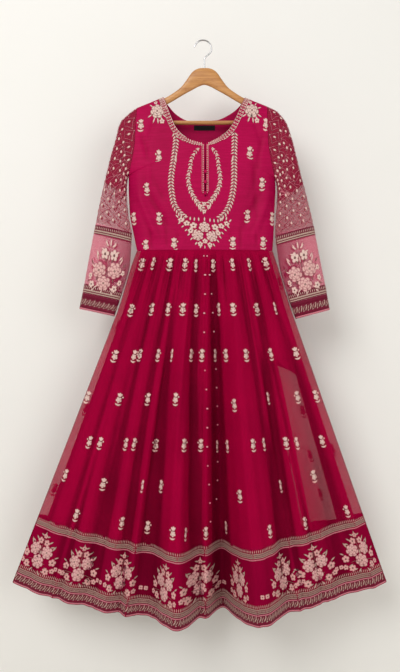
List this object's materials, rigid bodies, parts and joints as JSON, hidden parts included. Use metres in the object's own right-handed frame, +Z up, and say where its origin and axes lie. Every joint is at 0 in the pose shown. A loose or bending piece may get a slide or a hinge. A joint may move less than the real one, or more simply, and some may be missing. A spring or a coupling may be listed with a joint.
{
  "type": "maxi dress on a wooden hanger",
  "caption": "Long-sleeved maxi dress of silk and embroidered net with a gathered, lined skirt, hanging flat on an arched wooden hanger.",
  "frame": {"origin": "bearing point at the top inside the hanger's hook", "axes": "+Z up, the front of the dress faces -Y, +X to the viewer's right"},
  "size_m": [0.9537, 0.2128, 1.4678],
  "materials": {
    "silk": "woven raw silk, soft slubbed sheen",
    "net": "fine sheer net",
    "lining": "plain woven lining, soft satin sheen",
    "sleeve_net": "sheer embroidered net",
    "panel": "net border with dense thread embroidery",
    "embroidery": "raised thread embroidery",
    "label": "plain woven label, bare",
    "wood": "lacquered pale hardwood",
    "chrome": "bright plated wire"
  },
  "bodies": {
    "root": {"hanger_wood": "wood", "hanger_bar": "wood", "hanger_hook": "chrome", "bodice_front": "silk", "bodice_back": "silk", "skirt_net_front": "net", "skirt_net_back": "net", "hem_panel_front": "panel", "hem_panel_back": "panel", "skirt_lining_front": "lining", "skirt_lining_back": "lining", "sleeve_left": "sleeve_net", "sleeve_right": "sleeve_net", "sleeve_lining_left": "lining", "sleeve_lining_right": "lining", "cuff_left": "panel", "cuff_right": "panel", "neck_band_left": "embroidery", "neck_band_right": "embroidery", "placket_left": "embroidery", "placket_right": "embroidery", "button_1": "silk", "button_2": "silk", "button_3": "silk", "neck_label": "label"}
  },
  "joints": []
}
